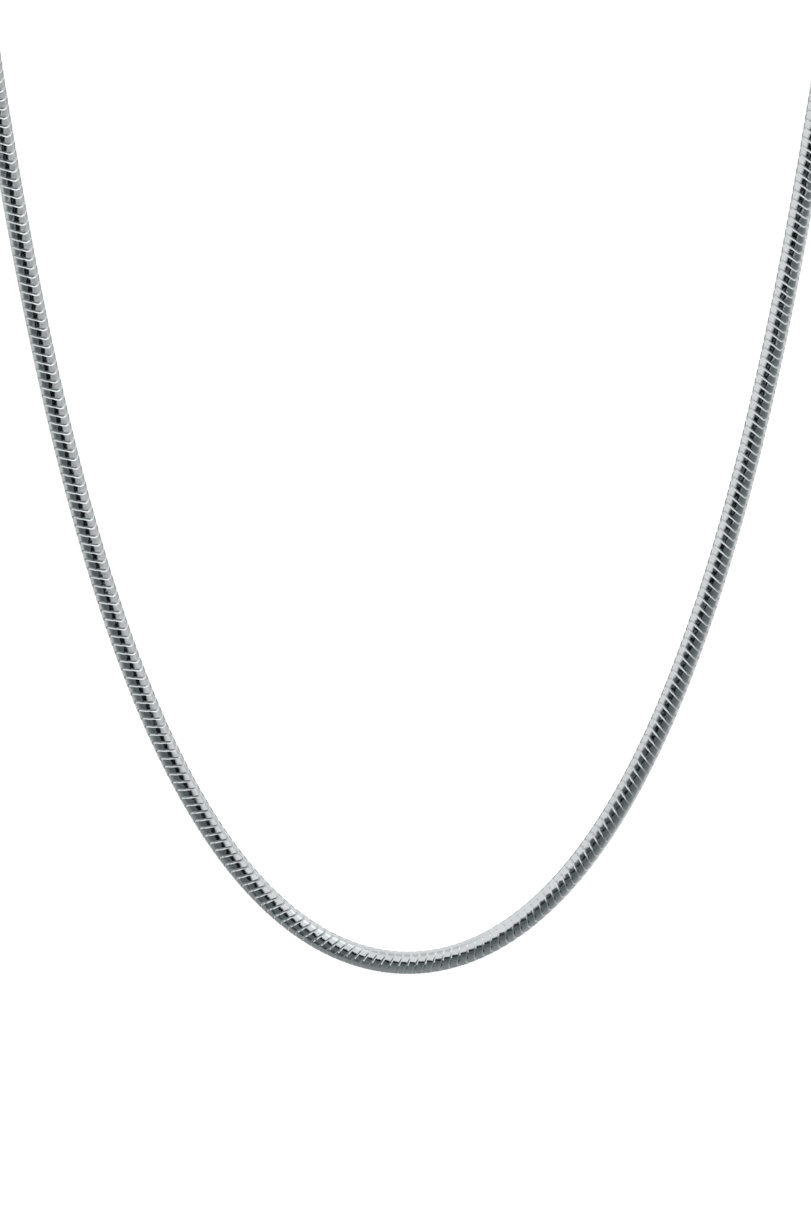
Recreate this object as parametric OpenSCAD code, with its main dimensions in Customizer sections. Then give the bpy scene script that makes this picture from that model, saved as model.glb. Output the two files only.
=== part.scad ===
// Snake chain necklace, hanging as it is worn.
// The front hangs in one upright plane as a catenary. The strands then turn back over the
// shoulders and go round the nape, where two end caps, two jump rings and a clasp join them.
// +Z is up and -Y is the front. The origin is the middle of the neck hollow, at the height of
// the chain's underside where it lies over the shoulders.

/* [Chain] */
// Outer diameter of the chain
chain_d = 3; // [2:0.1:4]

/* [Hanging front] */
// Radius of the bend at the lowest point, which sets the whole hanging curve
sag_r = 21.8; // [18:0.2:26]
// Height from the lowest point to where the strands start to turn back
front_h = 131; // [100:1:160]

/* [Way round the neck] */
// Depth from the front strands to the nape, between centrelines
neck_depth = 98; // [85:1:130]
// Rise of each strand while it turns back over the shoulder
turn_h = 20; // [14:1:30]
// Depth over which each strand turns back
turn_depth = 28; // [20:1:36]
// How far each strand moves outwards while it turns back
spread = 2; // [0:0.5:6]
// Rise from the shoulders to the nape
nape_rise = 6; // [0:1:15]

/* [End caps] */
// Wall of the cap round the chain
cap_wall = 0.4; // [0.3:0.05:0.8]
// Depth of the bore that holds the end of the chain
bore_depth = 3.8; // [2.5:0.1:6]
// Thickness of the closed end
cap_floor = 1.2; // [0.8:0.1:2]
// Diameter of the rolled bead round the mouth
bead_d = 0.7; // [0.5:0.1:0.9]
// Gap between the chain and the bore, all round and at its end
chain_gap = 0.15; // [0.1:0.05:0.3]

/* [Eyes and jump rings] */
// Wire of the soldered eyes
eye_wire = 0.8; // [0.6:0.1:1]
// Hole of the soldered eyes
eye_hole = 1.8; // [1.7:0.1:2.4]
// Wire of both jump rings
ring_wire = 0.8; // [0.6:0.1:1]
// Hole of the left jump ring
left_hole = 3.4; // [3:0.1:4.4]
// Hole of the right jump ring, which goes through the hook
right_hole = 4; // [3.6:0.1:5]
// Gap between pieces that pull on each other
play = 0.15; // [0.1:0.05:0.25]

/* [Clasp] */
// Width of the hook, between the centres of its two sides
hook_w = 3.8; // [3.4:0.1:5]
// Length of the straight sides
hook_l = 4.5; // [3:0.5:8]
// Thickness of the nose, the tail and the body side
body_wire = 1.2; // [1:0.1:1.6]
// Thickness of the gate side
gate_wire = 0.9; // [0.7:0.1:1]
// Diameter of the thumb tab on the gate
tab_d = 1.4; // [1.2:0.1:2]

/* [Hidden] */
$fn = 48;

// The eyes, rings and clasp lie in a row along X at the nape, centred on the necklace
solder = eye_wire / 3;
eye_mean = (eye_hole + eye_wire) / 2;
eye_to_cap = eye_mean + eye_wire / 2 - solder;
eye_to_left_ring = (eye_hole + left_hole) / 2 - play;
eye_to_right_ring = (eye_hole + right_hole) / 2 - play;
eye_to_hook = eye_mean + (eye_wire + body_wire) / 2 - solder;
eye_to_nose = eye_to_hook + hook_w + hook_l;
nose_to_ring = (right_hole - body_wire) / 2 - play;
row_l = 2 * eye_to_left_ring + eye_to_nose + nose_to_ring + eye_to_right_ring;
left_ring_x = eye_to_left_ring - row_l / 2;
clasp_x = left_ring_x + eye_to_left_ring;
right_ring_x = clasp_x + eye_to_nose + nose_to_ring;
cap_x = row_l / 2 + eye_to_cap;

// The chain is a tube of eight flat sides that touch the real round outline
tube_sides = 8;
tube_r = chain_d / 2 / cos(180 / tube_sides);
bore_r = tube_r + chain_gap;
chain_end_x = cap_x + cap_floor + chain_gap;
cap_l = cap_floor + bore_depth;

// The route: half a catenary, a turn over the shoulder, the side of the neck, the nape
low_z = chain_d / 2 - turn_h - front_h;
front_y = -neck_depth / 2;
nape_y = neck_depth / 2;
nape_z = chain_d / 2 + nape_rise;
nape_straight = 2;
nape_x = cap_x + cap_l + nape_straight;
half_l = sqrt((front_h + sag_r) ^ 2 - sag_r ^ 2);
shoulder_lean = [0.1, 1, 0.06];
turn_pull = 0.6;
side_pull = 0.75;
nape_pull = 0.5;

function asinh(v) = ln(v + sqrt(v ^ 2 + 1));
function unit(v) = v / norm(v);
function mirrored(v) = [-v.x, v.y, v.z];
function bezier(p, t) =
    (1 - t) ^ 3 * p[0] + 3 * t * (1 - t) ^ 2 * p[1] + 3 * t ^ 2 * (1 - t) * p[2] + t ^ 3 * p[3];

// A point of the hanging curve, at arc length s from its lowest point
function hang(s) = [
    sag_r * asinh(s / sag_r),
    front_y,
    low_z + sqrt(sag_r ^ 2 + s ^ 2) - sag_r
];

turn_start = hang(half_l);
turn_dir = unit([sag_r, 0, half_l]);
shoulder = [turn_start.x + spread, front_y + turn_depth, chain_d / 2];
shoulder_dir = unit(shoulder_lean);
nape_start = [nape_x, nape_y, nape_z];
side_depth = nape_y - shoulder.y;
turn_curve = [
    turn_start,
    turn_start + turn_dir * turn_pull * turn_h,
    shoulder - shoulder_dir * turn_pull * turn_depth,
    shoulder
];
side_curve = [
    shoulder,
    shoulder + shoulder_dir * side_pull * side_depth,
    nape_start + [nape_pull * (shoulder.x - nape_x), 0, 0],
    nape_start
];

// The rings lie closer together where the hanging curve bends most
front_steps = 20;
turn_steps = 5;
side_steps = 13;
crowding = 0.2;
function front_share(t) = (1 - crowding) * t + crowding * t ^ 2;
right_route = [
    for (i = [0 : front_steps]) hang(half_l * front_share(i / front_steps)),
    for (i = [1 : turn_steps]) bezier(turn_curve, i / turn_steps),
    for (i = [1 : side_steps]) bezier(side_curve, i / side_steps),
    [chain_end_x, nape_y, nape_z]
];
last = len(right_route) - 1;

function tangent(i) =
    i == 0 ? [1, 0, 0] :
    i == last ? [-1, 0, 0] :
    unit(right_route[i + 1] - right_route[i - 1]);
function square_to(v, t) = unit(v - (v * t) * t);
function facing(i) = i == 0 ? [0, -1, 0] : square_to(facing(i - 1), tangent(i));
function tube_ring(i) = [
    for (j = [0 : tube_sides - 1])
        let (turn = 360 / tube_sides * (j + 0.5), out = facing(i), side = cross(tangent(i), out))
        right_route[i] + tube_r * (cos(turn) * out + sin(turn) * side)
];

module tube(rings) {
    n = len(rings[0]);
    top = (len(rings) - 1) * n;
    walls = [
        for (k = [0 : len(rings) - 2])
        for (j = [0 : n - 1])
            let (a = k * n + j, b = k * n + (j + 1) % n)
            each [[a, a + n, b + n], [a, b + n, b]]
    ];
    start_face = [for (j = [0 : n - 1]) j];
    end_face = [for (j = [n - 1 : -1 : 0]) top + j];
    polyhedron([for (ring = rings) each ring], concat([start_face], walls, [end_face]));
}

// A round wire bent to a ring that stands in the XZ plane, or to an arc of one
module wire_ring(mean_r, wire, arc = 360) {
    rotate([90, 0, 0])
        rotate_extrude(angle = arc)
            translate([mean_r, 0]) circle(d = wire);
}

module wire_side(z, wire) {
    translate([0, 0, z]) rotate([0, 90, 0]) cylinder(d = wire, h = hook_l);
}

module at_nape(x) {
    translate([x, nape_y, nape_z]) children();
}

module end_cap() {
    outer_r = bore_r + cap_wall;
    rotate([0, 90, 0])
        rotate_extrude()
            difference() {
                union() {
                    square([outer_r, cap_l - bead_d / 2]);
                    translate([outer_r - bead_d / 4, cap_l - bead_d / 2]) circle(d = bead_d);
                    square([bore_r + cap_wall / 2, cap_l - bead_d / 4]);
                }
                translate([0, cap_floor]) square([bore_r, cap_l]);
                translate([-bead_d, 0]) square([bead_d, cap_l]);
            }
    translate([-eye_to_cap, 0, 0]) wire_ring(eye_mean, eye_wire);
}

module jump_ring(hole) {
    rotate_extrude()
        translate([(hole + ring_wire) / 2, 0]) circle(d = ring_wire);
}

module snake_chain() {
    right = [for (i = [0 : last]) tube_ring(i)];
    left = [for (i = [last : -1 : 1]) [for (p = right[i]) mirrored(p)]];
    color("gainsboro") tube(concat(left, right));
}

module end_cap_left() {
    color("silver") at_nape(-cap_x) mirror([1, 0, 0]) end_cap();
}

module end_cap_right() {
    color("silver") at_nape(cap_x) end_cap();
}

module jump_ring_left() {
    color("lightgray") at_nape(left_ring_x) jump_ring(left_hole);
}

module jump_ring_right() {
    color("lightgray") at_nape(right_ring_x) jump_ring(right_hole);
}

module lobster_clasp() {
    color("silver") at_nape(clasp_x) {
        wire_ring(eye_mean, eye_wire);
        translate([eye_to_hook + hook_w / 2, 0, 0]) {
            rotate([0, -90, 0]) wire_ring(hook_w / 2, body_wire, 180);
            wire_side(-hook_w / 2, body_wire);
            wire_side(hook_w / 2, gate_wire);
            translate([tab_d / 2, 0, (hook_w + gate_wire) / 2]) sphere(d = tab_d);
            translate([hook_l, 0, 0]) rotate([0, 90, 0]) wire_ring(hook_w / 2, body_wire, 180);
        }
    }
}

snake_chain();
end_cap_left();
end_cap_right();
jump_ring_left();
jump_ring_right();
lobster_clasp();
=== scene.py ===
import math
import random

import bmesh
import bpy
from bpy.props import FloatProperty, FloatVectorProperty, IntProperty, PointerProperty, StringProperty
from mathutils import Matrix, Vector


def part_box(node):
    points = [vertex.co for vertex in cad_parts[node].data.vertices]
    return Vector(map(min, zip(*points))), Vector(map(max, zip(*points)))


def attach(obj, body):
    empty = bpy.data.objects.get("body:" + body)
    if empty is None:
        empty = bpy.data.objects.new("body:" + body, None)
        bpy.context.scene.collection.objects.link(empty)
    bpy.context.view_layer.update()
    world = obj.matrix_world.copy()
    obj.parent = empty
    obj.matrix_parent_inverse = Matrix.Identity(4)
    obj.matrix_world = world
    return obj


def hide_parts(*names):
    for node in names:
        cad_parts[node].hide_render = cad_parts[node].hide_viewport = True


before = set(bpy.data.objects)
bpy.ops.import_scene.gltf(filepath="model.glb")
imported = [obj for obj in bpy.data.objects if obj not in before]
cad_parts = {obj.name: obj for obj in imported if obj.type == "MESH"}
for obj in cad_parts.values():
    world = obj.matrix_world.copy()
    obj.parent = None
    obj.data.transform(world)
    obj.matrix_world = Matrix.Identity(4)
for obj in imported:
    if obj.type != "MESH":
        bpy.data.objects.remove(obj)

bl_info = {
    "name": "Snake Chain Necklace",
    "version": (1, 0, 0),
    "blender": (4, 5, 0),
    "location": "3D View > Sidebar > Snake Chain",
    "description": "Builds a hanging snake chain of stamped wavy rings, with its caps, rings and clasp",
    "category": "Add Mesh",
}

MM = 0.001
# Two points, or two heights, that differ by less than this count as one
SAME = 0.0001 * MM
# Turns a circle that was made square to Z so that it is square to X
SQUARE_TO_X = Matrix.Rotation(math.pi / 2, 4, "Y")
# A direction along which no two points of a piece lie equally far
ASKEW = Vector((1, math.e, math.pi))
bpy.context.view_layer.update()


# Settings


def length(name, description, default):
    """A length in metres, with its default given in millimetres."""
    return FloatProperty(name=name, description=description, default=default * MM, unit="LENGTH", precision=5)


def share(name, description, default):
    """A share of another size, from 0 up."""
    return FloatProperty(name=name, description=description, default=default, subtype="FACTOR", soft_max=1)


def angle(name, description, default):
    """An angle in radians, with its default given in degrees."""
    return FloatProperty(name=name, description=description, default=math.radians(default), subtype="ANGLE")


def number(name, description, default):
    """A plain number."""
    return FloatProperty(name=name, description=description, default=default, precision=4)


def count(name, description, default, least=3):
    """A whole number."""
    return IntProperty(name=name, description=description, default=default, min=least)


def colour(name, description, default):
    """An sRGB colour as hex digits."""
    return StringProperty(name=name, description=description, default=default)


class RouteSettings(bpy.types.PropertyGroup):
    """Where the chain runs. These are the sizes that the CAD model has."""

    sag_radius: length("Sag radius", "Radius of the bend at the lowest point", 21.8)
    front_height: length("Front height", "From the lowest point up to where the strands turn back", 131)
    neck_depth: length("Neck depth", "From the front strands back to the nape", 98)
    turn_rise: length("Turn rise", "Rise of a strand while it turns back", 20)
    turn_depth: length("Turn depth", "Depth over which a strand turns back", 28)
    spread: length("Spread", "How far a strand moves outwards while it turns back", 2)
    nape_rise: length("Nape rise", "From the shoulders up to the nape", 6)
    nape_straight: length("Nape straight", "Straight run of the chain before each cap", 2)
    turn_pull: share("Turn pull", "Roundness of the turn over the shoulder", 0.6)
    side_pull: share("Side pull", "How long the side of the neck stays straight", 0.75)
    nape_pull: share("Nape pull", "How wide the nape stays straight", 0.5)
    lean: share("Lean", "Outward lean of the chain where it lies on the shoulder", 0.1)
    climb: share("Climb", "Upward lean of the chain where it lies on the shoulder", 0.06)
    steps: count("Steps", "Points along each of the route's three stretches", 200)


class ChainSettings(bpy.types.PropertyGroup):
    """The stamped wavy rings of the chain."""

    diameter: length("Diameter", "Outer diameter of the chain", 3)
    pitch: length("Pitch", "Distance from ring to ring, halfway up the front", 1.185)
    stretch: share("Stretch", "How much further apart the rings hang at the top than at the bottom", 0.05)
    wave: length("Wave", "Height of each ring's wave, from its middle plane", 0.45)
    peak: share("Peak", "How much sharper the wave's crests are than a plain wave's", 0.08)
    crest_lean: share("Crest lean", "How far the wave's crests lean over", 0.07)
    seam_turn: angle("Seam turn", "Place of the wave's crest at the lowest point, from the front", 43)
    seam_twist: angle("Seam twist", "Turn of the crests from the lowest point up to a shoulder", 19)
    flat: share("Flat", "Half width of a ring's smooth band, in pitches", 0.34)
    edge: share("Edge", "Half width of a ring with its leaning edge, in pitches", 0.49)
    tongue: share("Tongue", "Reach of the edge that slides under the next ring, in pitches", 0.6)
    edge_drop: length("Edge drop", "Depth of the leaning edge", 0.1)
    tongue_drop: length("Tongue drop", "Depth of the tip under the next ring", 0.15)
    faces: count("Faces round a ring", "Faces round each ring", 20, least=8)
    wobble: angle("Wobble", "Largest tilt of a single ring out of its row", 1.2)
    ease: length("Ease", "What a ring's radius gives up for its tilt", 0.01)
    seed: count("Seed", "Seed of the small differences between rings", 7, least=0)


class FindingSettings(bpy.types.PropertyGroup):
    """The caps, jump rings and clasp at the nape."""

    eye_wire: length("Eye wire", "Wire of the soldered eyes", 0.8)
    eye_hole: length("Eye hole", "Hole of the soldered eyes", 1.8)
    solder: share("Solder", "How deep an eye is soldered in, as a share of its wire", 1 / 3)
    ring_cut: length("Ring cut", "Saw cut where a jump ring closes", 0.04)
    bore_depth: length("Bore depth", "Depth of a cap's bore", 3.8)
    bore_gap: length("Bore gap", "Room round the chain in a cap", 0.06)
    end_gap: length("End gap", "Room between the chain's end and the closed end of its cap", 0.15)
    rounding: length("Rounding", "Rounding of a cap's closed end", 0.35)
    bead: length("Bead", "Rolled bead round a cap's mouth", 0.7)
    body_wire: length("Body wire", "Thickness of the clasp's nose, tail and body side", 1.2)
    gate_wire: length("Gate wire", "Thickness of the clasp's gate", 0.9)
    gate_gap: length("Gate gap", "Gap between the gate and the nose", 0.08)
    tab: length("Thumb tab", "Diameter of the thumb tab", 1.4)
    crease: angle("Crease", "Angle from which the edge between two faces looks sharp", 40)
    wire_faces: count("Faces round a wire", "Faces round the thickness of each wire", 16)
    eye_faces: count("Steps of an eye", "Steps in which an eye's wire goes round", 32)
    ring_faces: count("Steps of a jump ring", "Steps in which a jump ring's wire goes round", 40)
    turn_faces: count("Steps of a turn", "Steps in which the clasp's wire turns back", 16)
    cap_faces: count("Faces round a cap", "Faces round each turned cap", 48)
    rounding_steps: count("Steps of the rounding", "Steps in which a cap's closed end is rounded", 4)
    bead_steps: count("Steps of the bead", "Steps in which the rolled bead is rounded", 7)
    tab_faces: count("Faces round the tab", "Faces round the thumb tab", 20)
    tab_rows: count("Rows of the tab", "Rows of faces from pole to pole of the thumb tab", 12)


class StageSettings(bpy.types.PropertyGroup):
    """The camera, the light and the floor, taken from the photograph's frame."""

    photo_width: number("Frame width", "Width of the photograph in pixels", 811)
    photo_height: number("Frame height", "Height of the photograph in pixels", 1216)
    chain_pixels: number("Chain width", "Width of the chain in the photograph, in pixels", 22.4)
    lowest_x: number("Lowest point across", "Pixels from the left edge to the chain's lowest centre", 407.9)
    lowest_y: number("Lowest point down", "Pixels from the top edge to the chain's lowest centre", 962.9)
    distance: length("Camera distance", "From the camera to the hanging front", 1000)
    sensor: length("Sensor", "Long side of the camera's sensor", 36)
    nearest: length("Nearest", "Nearest distance that the camera sees", 10)
    floor_drop: length("Floor drop", "From the lowest point down to the floor", 90)
    floor_radius: length("Floor radius", "Radius of the floor", 500)
    floor_faces: count("Sides of the floor", "Sides of the round floor", 96)
    softbox_way: FloatVectorProperty(
        name="Softbox direction", description="From the chain to the softbox", default=(0.5, -0.2, 0.85)
    )
    softbox_distance: length("Softbox distance", "From the chain to the softbox", 1000)
    softbox_size: length("Softbox size", "Side of the square softbox", 500)
    softbox_power: number("Softbox power", "Power of the softbox in watts", 0.25)
    backdrop: number("Backdrop", "Brightness of the plain white ground that the camera sees", 1.05)
    sky: number("Sky", "Brightness of the white room above the horizon", 0.78)
    ceiling: number("Ceiling", "Brightness straight above", 0.56)
    wall: number("Grey wall", "Brightness of the low wall on the right", 0.33)
    floor_front: number("Floor at the front", "Brightness below the horizon, towards the camera", 0.12)
    floor_right: number("Floor on the right", "Brightness below the horizon, on the right", 0.17)
    floor_deep: number("Floor straight below", "Brightness straight down", 0.2)
    floor_middle: number("Floor in the middle", "Brightness below the horizon, under the chain", 0.27)
    floor_back: number("Floor at the back", "Brightness below the horizon, behind the chain", 0.68)
    floor_dark: number("Dark part of the floor", "Brightness below the camera, on the left", 0.06)
    side_walls: number("Side walls", "Brightness of the walls on both sides, a little behind the chain", 0.55)
    gap: number("Dark gap", "Brightness of the dark gap round the camera", 0.005)
    gap_upper: number("Top of the gap", "Brightness of the dark gap's upper left", 0.1)
    gap_rear: number("Gap at the back", "Brightness of the same gap at the far end of the room", 0.04)
    gap_slope: number("Slope of the gap", "How steeply the dark gap rises to both sides", 0.32)
    gap_shift: number("Shift of the gap", "How far to the left the gap's lower edge lies", 0.13)
    white_from: number("White from", "Brightness from which the room has no tint", 0.4)
    white: colour("White", "Colour of the room's bright parts and of the plain ground", "#FFFFFF")
    shade_tint: colour("Shade tint", "Tint of the room's dark parts", "#E8FAFF")


class MetalSettings(bpy.types.PropertyGroup):
    """Colours and finishes."""

    silver: colour("Silver", "Colour of the bright white plating", "#EEF3F5")
    piece_spread: share("Spread of the rings", "How much darker than the rest the darkest ring is", 0.07)
    roughness: FloatVectorProperty(
        name="Roughness", description="Lowest and highest roughness of the polish",
        default=(0.06, 0.11), size=2,
    )
    haze_size: length("Haze size", "Size of the hazy patches that the buffing leaves", 1.5)
    dent_size: length("Dent size", "Width of the shallow dents", 0.9)
    ring_dents: length("Dents of the rings", "Depth of the shallow dents in the stamped rings", 0.04)
    finding_dents: length("Dents of the findings", "Depth of the shallow dents in the findings", 0.01)
    floor: colour("Floor", "Colour of the studio floor", "#F2F2F0")
    floor_roughness: share("Floor roughness", "Roughness of the matt floor", 0.9)
    floor_glow: number("Floor glow", "Light that the floor gives off by itself", 0.35)


SETTINGS = {
    "snake_route": RouteSettings,
    "snake_rings": ChainSettings,
    "snake_findings": FindingSettings,
    "snake_stage": StageSettings,
    "snake_metal": MetalSettings,
}


# Small helpers


def linear(hex_colour):
    """An sRGB hex colour as linear red, green, blue and alpha."""
    parts = [int(hex_colour[i:i + 2], 16) / 255 for i in (1, 3, 5)]
    return [v / 12.92 if v <= 0.04045 else ((v + 0.055) / 1.055) ** 2.4 for v in parts] + [1.0]


def add_node(tree, kind, settings=(), links=()):
    """Adds a node, sets its properties and sockets, and links its inputs to other nodes' outputs."""
    node = tree.nodes.new(kind)
    for name, value in dict(settings).items():
        if isinstance(name, str) and hasattr(node, name):
            setattr(node, name, value)
        else:
            node.inputs[name].default_value = value
    for name, source in dict(links).items():
        tree.links.new(source, node.inputs[name])
    return node


def put_in_order(bm):
    """Sorts a bmesh by place. The operators leave it in an order that changes from run to run, and the shade
    of metal that each ring gets hangs on that order."""
    def place(*verts):
        return sum(vert.co.dot(ASKEW) for vert in verts)

    bm.verts.sort(key=place)
    bm.edges.sort(key=lambda edge: place(*edge.verts))
    bm.faces.sort(key=lambda face: place(*face.verts))


def finish_piece(bm, name, material, node=None, smooth=True):
    """Turns a bmesh into an object. One that stands for a CAD node rides on the part's one body."""
    bmesh.ops.remove_doubles(bm, verts=bm.verts, dist=SAME)
    bmesh.ops.recalc_face_normals(bm, faces=bm.faces)
    put_in_order(bm)
    mesh = bpy.data.meshes.new(name)
    bm.to_mesh(mesh)
    bm.free()
    for face in mesh.polygons:
        face.use_smooth = smooth
    mesh.materials.append(material)
    piece = bpy.data.objects.new(name, mesh)
    bpy.context.scene.collection.objects.link(piece)
    if node:
        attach(piece, "root")
        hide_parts(node)
    return piece


def finish_finding(bm, name, node, crease):
    """Turns a bmesh into a cap, a jump ring or the clasp, in its own silver and with crisp edges."""
    piece = finish_piece(bm, name, findings_silver(), node)
    piece.data.set_sharp_from_angle(angle=crease)


def arc(start, end, steps):
    """The angles from start to end, both included."""
    return [start + (end - start) * i / steps for i in range(steps + 1)]


def only(kind, geometry):
    """The vertices, the edges or the faces of a bmesh operator's result."""
    return [item for item in geometry if isinstance(item, kind)]


def spin_full(bm, geometry, centre, axis, steps):
    """Spins an outline once round an axis and joins its ends."""
    bmesh.ops.spin(
        bm, geom=geometry, cent=centre, axis=axis, dvec=(0, 0, 0), angle=math.tau,
        space=Matrix.Identity(4), steps=steps, use_merge=True, use_duplicate=False,
    )


def spin_part(bm, geometry, centre, axis, turn, steps):
    """Spins an outline part of the way round an axis and returns where it ends."""
    return bmesh.ops.spin(
        bm, geom=geometry, cent=centre, axis=axis, dvec=(0, 0, 0), angle=turn,
        space=Matrix.Identity(4), steps=steps, use_merge=False, use_duplicate=False,
    )["geom_last"]


def close_ends(bm):
    """Closes the open ends of a bent wire."""
    bmesh.ops.holes_fill(bm, edges=[edge for edge in bm.edges if edge.is_boundary], sides=0)


def closed_outline(bm, points):
    """Adds a closed outline of vertices and edges and returns them all."""
    verts = [bm.verts.new(p) for p in points]
    edges = [bm.edges.new((verts[i], verts[(i + 1) % len(verts)])) for i in range(len(verts))]
    return verts + edges


def wire_circle(bm, centre, wire, faces, turn=Matrix.Identity(4)):
    """Adds a circle of wire thickness at a point. turn lays it square to the wire."""
    place = Matrix.Translation(centre) @ turn
    made = bmesh.ops.create_circle(bm, cap_ends=False, segments=faces, radius=wire / 2, matrix=place)
    return made["verts"] + list({edge for vert in made["verts"] for edge in vert.link_edges})


def soldered_eye(bm, middle, findings):
    """Adds an upright eye of round wire with its hole round a point."""
    reach = Vector(((findings.eye_hole + findings.eye_wire) / 2, 0, 0))
    wire = wire_circle(bm, middle + reach, findings.eye_wire, findings.wire_faces)
    spin_full(bm, wire, middle, (0, 1, 0), findings.eye_faces)


# The route


def bezier(p, t):
    """A point of a cubic Bezier curve."""
    return (1 - t) ** 3 * p[0] + 3 * t * (1 - t) ** 2 * p[1] + 3 * t ** 2 * (1 - t) * p[2] + t ** 3 * p[3]


def nape_point():
    """The middle of the row of findings at the nape."""
    low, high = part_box("jump_ring_left")
    return Vector((0, (low.y + high.y) / 2, (low.z + high.z) / 2))


def lowest_point(route, diameter):
    """Y and Z of the chain's centre at its lowest point, where X is 0."""
    return -route.neck_depth / 2, diameter / 2 - route.turn_rise - route.front_height


def strand_length(route):
    """Length of a hanging strand from the lowest point up to where it starts to turn back."""
    return math.sqrt((route.front_height + route.sag_radius) ** 2 - route.sag_radius ** 2)


def right_half(route, diameter, findings):
    """The route's points from the lowest point up the right strand, over the shoulder, to the right cap."""
    a = route.sag_radius
    front_y, low_z = lowest_point(route, diameter)
    strand = strand_length(route)

    def hang(s):
        """The catenary's point at arc length s from its lowest point."""
        return Vector((a * math.asinh(s / a), front_y, low_z + math.hypot(a, s) - a))

    start = hang(strand)
    start_way = Vector((a, 0, strand)).normalized()
    shoulder = Vector((start.x + route.spread, front_y + route.turn_depth, diameter / 2))
    shoulder_way = Vector((route.lean, 1, route.climb)).normalized()
    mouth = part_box("end_cap_right")[1].x
    nape = nape_point()
    nape_start = Vector((mouth + route.nape_straight, nape.y, nape.z))
    end = Vector((mouth - findings.bore_depth + findings.end_gap, nape.y, nape.z))
    turn = [
        start,
        start + start_way * route.turn_pull * route.turn_rise,
        shoulder - shoulder_way * route.turn_pull * route.turn_depth,
        shoulder,
    ]
    side = [
        shoulder,
        shoulder + shoulder_way * route.side_pull * (nape.y - shoulder.y),
        nape_start + Vector((route.nape_pull * (shoulder.x - nape_start.x), 0, 0)),
        nape_start,
    ]
    shares = [i / route.steps for i in range(1, route.steps + 1)]
    points = [hang(0)] + [hang(strand * t) for t in shares]
    points += [bezier(turn, t) for t in shares]
    points += [bezier(side, t) for t in shares]
    return points + [end]


def frames_along(points):
    """For each point its distance along the route, its tangent, and a front that is carried without twist."""
    rows = []
    run, front = 0.0, Vector((0, -1, 0))
    last = len(points) - 1
    for i, point in enumerate(points):
        if i == 0:
            tangent = Vector((1, 0, 0))
        else:
            tangent = (points[min(i + 1, last)] - points[i - 1]).normalized()
            run += (point - points[i - 1]).length
        front = (front - front.dot(tangent) * tangent).normalized()
        rows.append((run, point, tangent, front.copy()))
    return rows


def frame_at(rows, run, start=0):
    """The point, tangent and front at a distance along the route, and the row before it."""
    i = start
    while i < len(rows) - 2 and rows[i + 1][0] < run:
        i += 1
    a, b = rows[i], rows[i + 1]
    t = (run - a[0]) / (b[0] - a[0])
    return a[1].lerp(b[1], t), a[2].lerp(b[2], t).normalized(), a[3].lerp(b[3], t).normalized(), i


def ring_places(route, rings, findings):
    """One matrix for each ring: its middle, its axis along the chain and the turn of its wave."""
    rows = frames_along(right_half(route, rings.diameter, findings))
    total = rows[-1][0]
    strand = strand_length(route)
    chance = random.Random(rings.seed)
    places = []
    for side in (1, -1):
        run = row = 0
        while True:
            height = min(run / strand, 1)
            pitch = rings.pitch * (1 + rings.stretch * (height - 0.5))
            # The first ring of each half stands half a pitch from the lowest point
            run += pitch if run else pitch / 2
            if run > total - pitch / 2:
                break
            point, tangent, front, row = frame_at(rows, run, row)
            if side < 0:
                flip = Vector((-1, 1, 1))
                point, tangent, front = point * flip, -(tangent * flip), front * flip
            place = Matrix((front, tangent.cross(front), tangent)).transposed().to_4x4()
            place.translation = point
            turn = rings.seam_turn + rings.seam_twist * side * height
            tilt_axis = Vector((chance.uniform(-1, 1), chance.uniform(-1, 1), 0)).normalized()
            tilt = Matrix.Rotation(chance.uniform(-1, 1) * rings.wobble, 4, tilt_axis)
            places.append(place @ tilt @ Matrix.Rotation(-turn, 4, "Z"))
    return places


# Materials


def polished_silver(name, metal, dent_depth):
    """Sterling silver, rhodium plated and mirror polished: bright, faintly cool, with soft-edged reflections.
    The buffing leaves a fine haze that comes and goes, and the stamping shallow dents that make the
    reflections' edges waver."""
    material = bpy.data.materials.new(name)
    material.use_nodes = True
    tree = material.node_tree
    tree.nodes.clear()
    place = add_node(tree, "ShaderNodeTexCoord").outputs["Object"]
    # Single buffing marks are too fine to show, so the haze is drawn in patches coarse enough to see
    haze = add_node(
        tree, "ShaderNodeTexNoise", {"Scale": 1 / metal.haze_size, "Detail": 3.0}, {"Vector": place}
    )
    dents = add_node(
        tree, "ShaderNodeTexNoise", {"Scale": 1 / metal.dent_size, "Detail": 1.0}, {"Vector": place}
    )
    each = add_node(tree, "ShaderNodeNewGeometry").outputs["Random Per Island"]
    # Most of the noise lies between 0.3 and 0.7, so that span fills the whole range of roughness
    polish = add_node(
        tree, "ShaderNodeMapRange",
        {"From Min": 0.3, "From Max": 0.7, "To Min": metal.roughness[0], "To Max": metal.roughness[1]},
        {"Value": haze.outputs["Fac"]},
    )
    brightest = linear(metal.silver)
    darkest = [v * (1 - metal.piece_spread) for v in brightest[:3]] + [1.0]
    tone = add_node(tree, "ShaderNodeMix", {"data_type": "RGBA", 6: brightest, 7: darkest}, {0: each})
    bump = add_node(
        tree, "ShaderNodeBump", {"Strength": 1.0, "Distance": dent_depth}, {"Height": dents.outputs["Fac"]}
    )
    shader = add_node(
        tree, "ShaderNodeBsdfPrincipled", {"Metallic": 1.0},
        {
            "Base Color": tone.outputs[2],
            "Roughness": polish.outputs["Result"],
            "Normal": bump.outputs["Normal"],
        },
    )
    add_node(tree, "ShaderNodeOutputMaterial", (), {"Surface": shader.outputs["BSDF"]})
    return material


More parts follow.
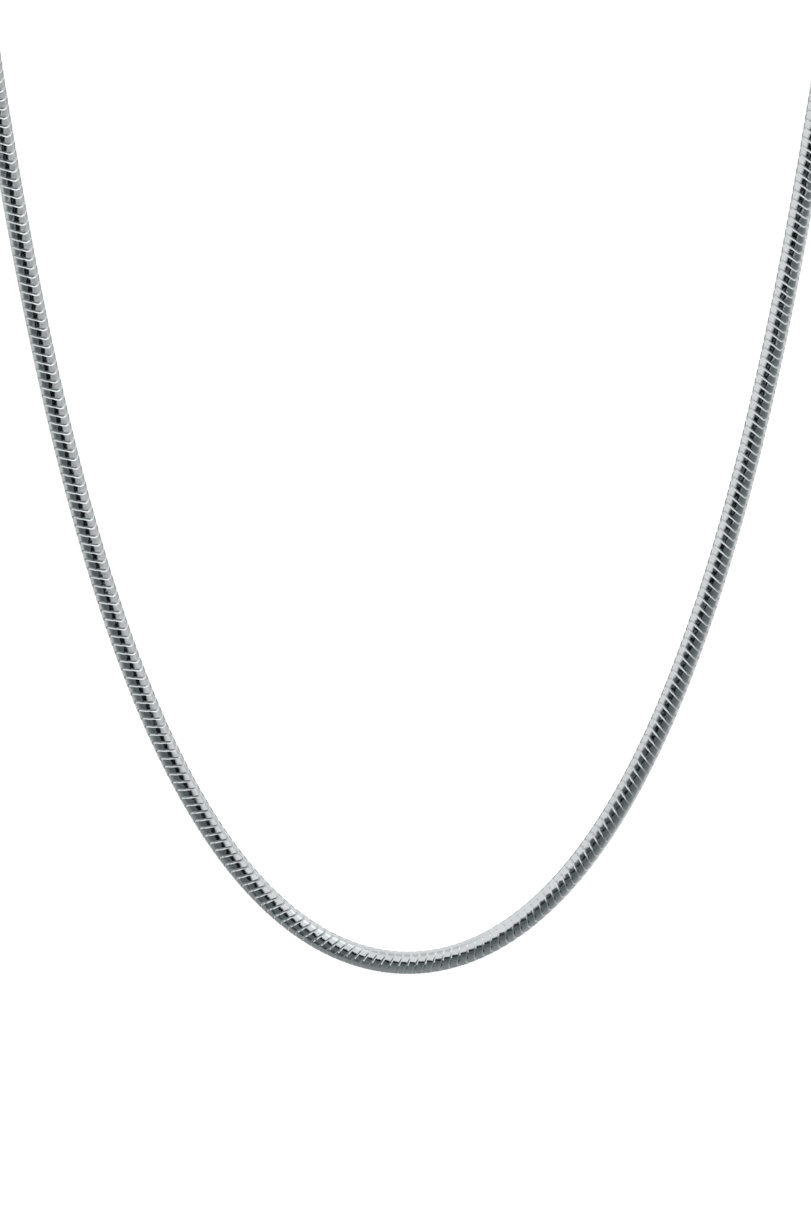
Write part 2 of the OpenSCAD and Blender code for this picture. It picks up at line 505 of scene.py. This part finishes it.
def findings_silver():
    """The metal of the caps, jump rings and clasp, made once. Turned or drawn, it has hardly a dent."""
    name, metal = "rhodium_plated_silver_findings", bpy.context.scene.snake_metal
    return bpy.data.materials.get(name) or polished_silver(name, metal, metal.finding_dents)


def studio_floor(metal):
    """Matt white painted board: pale and even, with no gloss of its own."""
    material = bpy.data.materials.new("matt_white_board")
    material.use_nodes = True
    shader = material.node_tree.nodes["Principled BSDF"]
    shader.inputs["Base Color"].default_value = linear(metal.floor)
    shader.inputs["Roughness"].default_value = metal.floor_roughness
    shader.inputs["Emission Color"].default_value = linear(metal.floor)
    shader.inputs["Emission Strength"].default_value = metal.floor_glow
    return material


def room_brightness(tree, stage):
    """The brightness of a white room by direction, painted in layers: a bright upper half, a grey floor that
    grows lighter towards the back, and round the camera a low dark gap that gives the metal contrast."""
    way = add_node(tree, "ShaderNodeTexCoord").outputs["Generated"]
    parts = add_node(tree, "ShaderNodeSeparateXYZ", (), {0: way}).outputs
    sources = {"x": parts["X"], "y": parts["Y"], "z": parts["Z"]}
    # The gap is a shallow arch turned over, which rises to both sides, and its foot lies more to the left
    for name, shift in (("top", 0.0), ("foot", stage.gap_shift)):
        shifted = add_node(tree, "ShaderNodeMath", {"operation": "ADD", 1: shift}, {0: parts["X"]}).outputs[0]
        across = add_node(tree, "ShaderNodeMath", {"operation": "ABSOLUTE"}, {0: shifted}).outputs[0]
        sources[name + " across"] = across
        sources[name] = add_node(
            tree, "ShaderNodeMath", {"operation": "MULTIPLY_ADD", 1: -stage.gap_slope},
            {0: across, 2: parts["Z"]},
        ).outputs[0]
    # Each fade has its source, where it is 0 and where it is 1
    fades = {
        "right": ("x", 0.35, 0.7),
        "low": ("z", 0.5, 0.1),
        "zenith": ("z", 0.88, 0.98),
        "below": ("z", 0.08, -0.06),
        "far right": ("x", 0.3, 1.0),
        "deep": ("z", -0.35, -0.8),
        "under": ("y", -0.6, 0.2),
        "behind": ("y", 0.0, 0.8),
        "shallow": ("z", -0.6, -0.1),
        "over floor": ("foot", -0.16, -0.06),
        "under sky": ("top", 0.32, 0.12),
        "between": ("foot across", 0.8, 0.4),
        "front": ("y", 0.6, 0.0),
        "rear": ("y", 0.7, 0.95),
        "upper": ("top", 0.0, 0.05),
        "left": ("x", 0.0, -0.15),
        "steep": ("z", -0.5, -0.7),
        "near": ("y", -0.1, -0.4),
        "lower left": ("x", -0.1, -0.4),
        "beside": ("y", -0.2, 0.3),
        "far left": ("x", -0.5, -0.8),
        "just below": ("z", -0.4, -0.2),
        "well right": ("x", 0.6, 0.9),
        "just above": ("z", 0.0, 0.25),
    }
    masks = {}
    for name, (source, start, end) in fades.items():
        masks[name] = add_node(
            tree, "ShaderNodeMapRange",
            {"interpolation_type": "SMOOTHSTEP", "From Min": start, "From Max": end},
            {"Value": sources[source]},
        ).outputs["Result"]
    # Each layer covers the ones before it where all its fades are 1
    layers = (
        (("right", "low"), stage.wall),
        (("zenith",), stage.ceiling),
        (("below",), stage.floor_front),
        (("below", "far right"), stage.floor_right),
        (("below", "deep"), stage.floor_deep),
        (("below", "under"), stage.floor_middle),
        (("below", "behind", "shallow"), stage.floor_back),
        (("below", "behind", "far right"), stage.sky),
        (("steep", "near", "lower left"), stage.floor_dark),
        (("below", "just below", "beside", "far left"), stage.side_walls),
        (("just above", "beside", "well right"), stage.side_walls),
        (("over floor", "under sky", "between", "front"), stage.gap),
        (("upper", "left", "under sky", "between", "front"), stage.gap_upper),
        (("over floor", "under sky", "between", "rear"), stage.gap_rear),
    )
    tone = None
    for names, value in layers:
        mask = masks[names[0]]
        for name in names[1:]:
            both = {0: mask, 1: masks[name]}
            mask = add_node(tree, "ShaderNodeMath", {"operation": "MULTIPLY"}, both).outputs[0]
        layer = add_node(tree, "ShaderNodeMix", {2: stage.sky, 3: value}, {0: mask})
        if tone:
            tree.links.new(tone, layer.inputs[2])
        tone = layer.outputs[0]
    return tone


def studio_world(stage):
    """The white room that lights the metal and shows in it. The camera itself sees a plain white ground."""
    world = bpy.data.worlds.new("white_room")
    world.use_nodes = True
    tree = world.node_tree
    tree.nodes.clear()
    tone = room_brightness(tree, stage)
    white = linear(stage.white)
    # The darker a part of the room is, the more it is tinted
    paleness = add_node(
        tree, "ShaderNodeMath", {"operation": "DIVIDE", "use_clamp": True, 1: stage.white_from}, {0: tone}
    ).outputs[0]
    tint = add_node(
        tree, "ShaderNodeMix", {"data_type": "RGBA", 6: linear(stage.shade_tint), 7: white}, {0: paleness}
    ).outputs[2]
    seen = add_node(tree, "ShaderNodeBackground", {"Color": white, "Strength": stage.backdrop})
    lit = add_node(tree, "ShaderNodeBackground", (), {"Color": tint, "Strength": tone})
    ray = add_node(tree, "ShaderNodeLightPath").outputs["Is Camera Ray"]
    mix = add_node(
        tree, "ShaderNodeMixShader", (), {0: ray, 1: lit.outputs["Background"], 2: seen.outputs["Background"]}
    )
    add_node(tree, "ShaderNodeOutputWorld", (), {"Surface": mix.outputs["Shader"]})
    return world


# Operators


class SNAKE_OT_stage(bpy.types.Operator):
    """Make the camera, the white room, the softbox and the pale floor"""

    bl_idname = "snake.stage"
    bl_label = "Stage"

    def execute(self, context):
        scene = context.scene
        stage, rings, route = scene.snake_stage, scene.snake_rings, scene.snake_route
        pixel = rings.diameter / stage.chain_pixels
        front_y, low_z = lowest_point(route, rings.diameter)

        camera = bpy.data.objects.new("camera", bpy.data.cameras.new("camera"))
        camera.data.sensor_width = stage.sensor / MM
        camera.data.lens = stage.sensor / MM * stage.distance / (stage.photo_height * pixel)
        camera.data.clip_start = stage.nearest
        camera.location = (
            (stage.photo_width / 2 - stage.lowest_x) * pixel,
            front_y - stage.distance,
            low_z + (stage.lowest_y - stage.photo_height / 2) * pixel,
        )
        camera.rotation_euler = (math.radians(90), 0, 0)
        scene.collection.objects.link(camera)
        scene.camera = camera

        bm = bmesh.new()
        bmesh.ops.create_circle(
            bm, cap_ends=True, segments=stage.floor_faces, radius=stage.floor_radius,
            matrix=Matrix.Translation((0, 0, low_z - stage.floor_drop)),
        )
        floor = finish_piece(bm, "studio_floor", studio_floor(scene.snake_metal), smooth=False)
        floor.visible_glossy = False

        softbox = bpy.data.objects.new("softbox", bpy.data.lights.new("softbox", "AREA"))
        softbox.data.size = stage.softbox_size
        softbox.data.energy = stage.softbox_power
        way = Vector(stage.softbox_way).normalized()
        softbox.location = Vector((0, front_y, low_z + route.front_height / 2)) + way * stage.softbox_distance
        softbox.rotation_euler = way.to_track_quat("Z", "Y").to_euler()
        scene.collection.objects.link(softbox)

        scene.world = studio_world(stage)
        scene.view_settings.view_transform = "Standard"
        return {"FINISHED"}


class SNAKE_OT_chain(bpy.types.Operator):
    """Stamp one wavy ring and set it along the whole route"""

    bl_idname = "snake.chain"
    bl_label = "Chain of wavy rings"

    def stamped_ring(self, rings):
        """One closed ring: a smooth band with a leaning edge and a tongue that slides under the next ring."""
        outer = rings.diameter / 2 - rings.ease
        outline = [
            (-rings.edge, rings.edge_drop),
            (-rings.flat, 0),
            (rings.flat, 0),
            (rings.tongue, rings.tongue_drop),
        ]
        bm = bmesh.new()
        section = closed_outline(bm, [(outer - drop, 0, along * rings.pitch) for along, drop in outline])
        spin_full(bm, section, (0, 0, 0), (0, 0, 1), rings.faces)
        bmesh.ops.recalc_face_normals(bm, faces=bm.faces)
        # Edges that run round the ring stay at one height and are creases. All others are smooth.
        for edge in bm.edges:
            rise = abs(edge.verts[0].co.z - edge.verts[1].co.z)
            edge.smooth = rise > SAME
        for vert in bm.verts:
            turn = 2 * math.atan2(vert.co.y, vert.co.x)
            vert.co.z += rings.wave * (
                math.cos(turn) + rings.peak * math.cos(3 * turn) - rings.crest_lean * math.sin(2 * turn)
            )
        mesh = bpy.data.meshes.new("stamped_ring")
        bm.to_mesh(mesh)
        bm.free()
        return mesh

    def execute(self, context):
        scene = context.scene
        rings = scene.snake_rings
        stamped = self.stamped_ring(rings)
        bm = bmesh.new()
        for place in ring_places(scene.snake_route, rings, scene.snake_findings):
            copy = stamped.copy()
            copy.transform(place)
            bm.from_mesh(copy)
            bpy.data.meshes.remove(copy)
        bpy.data.meshes.remove(stamped)
        metal = scene.snake_metal
        plated = polished_silver("rhodium_plated_silver_rings", metal, metal.ring_dents)
        chain = finish_piece(bm, "wavy_rings", plated, "snake_chain")
        return {"FINISHED"}


class SNAKE_OT_end_caps(bpy.types.Operator):
    """Turn the two end caps with their soldered eyes"""

    bl_idname = "snake.end_caps"
    bl_label = "End caps"

    def half_section(self, findings, base, mouth, outer, bore):
        """Distances along and from the axis, over the closed end, the side and the bead into the bore."""
        rounding, bead = findings.rounding, findings.bead / 2
        floor = mouth - findings.bore_depth
        closed_end = [
            (base + rounding * (1 - math.cos(a)), outer - rounding * (1 - math.sin(a)))
            for a in arc(0, math.pi / 2, findings.rounding_steps)
        ]
        rolled_bead = [
            (mouth - bead - bead * math.cos(a), outer - bead / 2 + bead * math.sin(a))
            for a in arc(math.pi / 4, math.pi, findings.bead_steps)
        ]
        return [(base, 0), *closed_end, *rolled_bead, (mouth - bead / 2, bore), (floor, bore), (floor, 0)]

    def execute(self, context):
        findings = context.scene.snake_findings
        bore = context.scene.snake_rings.diameter / 2 + findings.bore_gap
        nape = nape_point()
        for side, node in ((-1, "end_cap_left"), (1, "end_cap_right")):
            low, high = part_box(node)
            inner, mouth = sorted((abs(low.x), abs(high.x)))
            eye = inner + findings.eye_wire + findings.eye_hole / 2
            base = eye + findings.eye_hole / 2 + findings.eye_wire * (1 - findings.solder)
            outer = (high.z - low.z) / 2 - findings.bead / 4
            section = self.half_section(findings, base, mouth, outer, bore)
            bm = bmesh.new()
            verts = [bm.verts.new((along * side, nape.y, nape.z + away)) for along, away in section]
            edges = [bm.edges.new(pair) for pair in zip(verts, verts[1:])]
            spin_full(bm, verts + edges, nape, (1, 0, 0), findings.cap_faces)
            soldered_eye(bm, Vector((eye * side, nape.y, nape.z)), findings)
            finish_finding(bm, node.replace("end_cap", "turned_cap"), node, findings.crease)
        return {"FINISHED"}


class SNAKE_OT_jump_rings(bpy.types.Operator):
    """Bend the two jump rings, each with the saw cut where it closes"""

    bl_idname = "snake.jump_rings"
    bl_label = "Jump rings"

    def execute(self, context):
        findings = context.scene.snake_findings
        for node in ("jump_ring_left", "jump_ring_right"):
            low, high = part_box(node)
            middle = (low + high) / 2
            wire = high.z - low.z
            reach = (high.y - low.y - wire) / 2
            turn = math.tau - findings.ring_cut / reach
            start = middle + Vector((0, reach, 0))
            bm = bmesh.new()
            section = wire_circle(bm, start, wire, findings.wire_faces, SQUARE_TO_X)
            spin_part(bm, section, middle, (0, 0, 1), turn, findings.ring_faces)
            close_ends(bm)
            finish_finding(bm, node.replace("jump_ring", "wire_ring"), node, findings.crease)
        return {"FINISHED"}


class SNAKE_OT_clasp(bpy.types.Operator):
    """Make the hook clasp: its eye, its body, its gate and its thumb tab"""

    bl_idname = "snake.clasp"
    bl_label = "Clasp"

    def bent_body(self, bm, findings, tail, nose, side):
        """The wire that turns round the tail, runs straight below the gate and turns round the nose."""
        start = tail + Vector((0, 0, side))
        section = wire_circle(bm, start, findings.body_wire, findings.wire_faces, SQUARE_TO_X)
        bend = spin_part(bm, section, tail, (0, -1, 0), math.pi, findings.turn_faces)
        straight = bmesh.ops.extrude_edge_only(bm, edges=only(bmesh.types.BMEdge, bend))["geom"]
        front = only(bmesh.types.BMVert, straight)
        bmesh.ops.translate(bm, vec=nose - tail, verts=front)
        edges = only(bmesh.types.BMEdge, straight)
        rim = [edge for edge in edges if all(vert in front for vert in edge.verts)]
        spin_part(bm, front + rim, nose, (0, -1, 0), math.pi, findings.turn_faces)
        close_ends(bm)

    def gate(self, bm, findings, tail, nose, side):
        """The straight gate with its thumb tab, which starts at the tail and stops just before the nose."""
        reach = nose.x - tail.x - findings.gate_gap
        wire = findings.gate_wire / 2
        middle = tail + Vector((reach / 2, 0, side))
        bmesh.ops.create_cone(
            bm, cap_ends=True, segments=findings.wire_faces, radius1=wire, radius2=wire, depth=reach,
            matrix=Matrix.Translation(middle) @ SQUARE_TO_X,
        )
        tab = findings.tab / 2
        bmesh.ops.create_uvsphere(
            bm, u_segments=findings.tab_faces, v_segments=findings.tab_rows, radius=tab,
            matrix=Matrix.Translation(tail + Vector((tab, 0, side + wire))),
        )

    def execute(self, context):
        findings = context.scene.snake_findings
        low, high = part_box("lobster_clasp")
        nape = nape_point()
        eye = low.x + findings.eye_wire + findings.eye_hole / 2
        body_start = eye + findings.eye_hole / 2 + findings.eye_wire * (1 - findings.solder)
        side = nape.z - low.z - findings.body_wire / 2
        tail = Vector((body_start + findings.body_wire / 2 + side, nape.y, nape.z))
        nose = Vector((high.x - findings.body_wire / 2 - side, nape.y, nape.z))
        bm = bmesh.new()
        soldered_eye(bm, Vector((eye, nape.y, nape.z)), findings)
        self.bent_body(bm, findings, tail, nose, side)
        self.gate(bm, findings, tail, nose, side)
        finish_finding(bm, "hook_clasp", "lobster_clasp", findings.crease)
        return {"FINISHED"}


OPERATORS = (SNAKE_OT_stage, SNAKE_OT_chain, SNAKE_OT_end_caps, SNAKE_OT_jump_rings, SNAKE_OT_clasp)


class SNAKE_PT_panel(bpy.types.Panel):
    """The necklace's pieces and their sizes"""

    bl_idname = "SNAKE_PT_panel"
    bl_label = "Snake Chain"
    bl_space_type = "VIEW_3D"
    bl_region_type = "UI"
    bl_category = "Snake Chain"

    def draw(self, context):
        for kind in OPERATORS:
            self.layout.operator(kind.bl_idname)
        for name, group in SETTINGS.items():
            box = self.layout.box()
            box.label(text=group.__name__)
            for key in group.__annotations__:
                box.prop(getattr(context.scene, name), key)


CLASSES = (*SETTINGS.values(), *OPERATORS, SNAKE_PT_panel)


def register():
    for kind in CLASSES:
        bpy.utils.register_class(kind)
    for name, group in SETTINGS.items():
        setattr(bpy.types.Scene, name, PointerProperty(type=group))


def unregister():
    for name in SETTINGS:
        delattr(bpy.types.Scene, name)
    for kind in reversed(CLASSES):
        bpy.utils.unregister_class(kind)


def main():
    """Registers the classes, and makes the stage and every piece."""
    register()
    bpy.ops.snake.stage()
    bpy.ops.snake.chain()
    bpy.ops.snake.end_caps()
    bpy.ops.snake.jump_rings()
    bpy.ops.snake.clasp()


if __name__ == "__main__":
    main()
